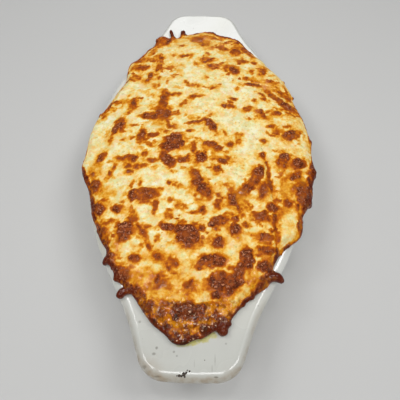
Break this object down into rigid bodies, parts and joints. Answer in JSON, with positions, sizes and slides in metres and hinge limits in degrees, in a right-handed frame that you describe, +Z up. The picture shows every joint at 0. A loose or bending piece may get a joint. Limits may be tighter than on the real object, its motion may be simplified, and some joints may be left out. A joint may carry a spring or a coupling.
{
  "type": "baked pasta in an eared gratin dish",
  "caption": "Baked pasta under a domed, browned cheese crust that laps over the rim of an oblong white stoneware gratin dish with a flat ear at each end.",
  "frame": {"origin": "middle of the dish's flat underside", "axes": "+Y along the dish, away from the narrow end of the cheese; +Z up; +X to the right when looking along +Y"},
  "size_m": [0.1679, 0.305, 0.0554],
  "materials": {
    "glaze": "smooth glossy off-white glaze with fine specks and a few tan baking stains",
    "pasta": "moist tube pasta in browned tomato sauce",
    "cheese": "oily melted cheese, pale yellow between dark brown baked blisters"
  },
  "bodies": {
    "root": {"dish": "glaze", "pasta_filling": "pasta", "cheese_topping": "cheese"}
  },
  "joints": []
}
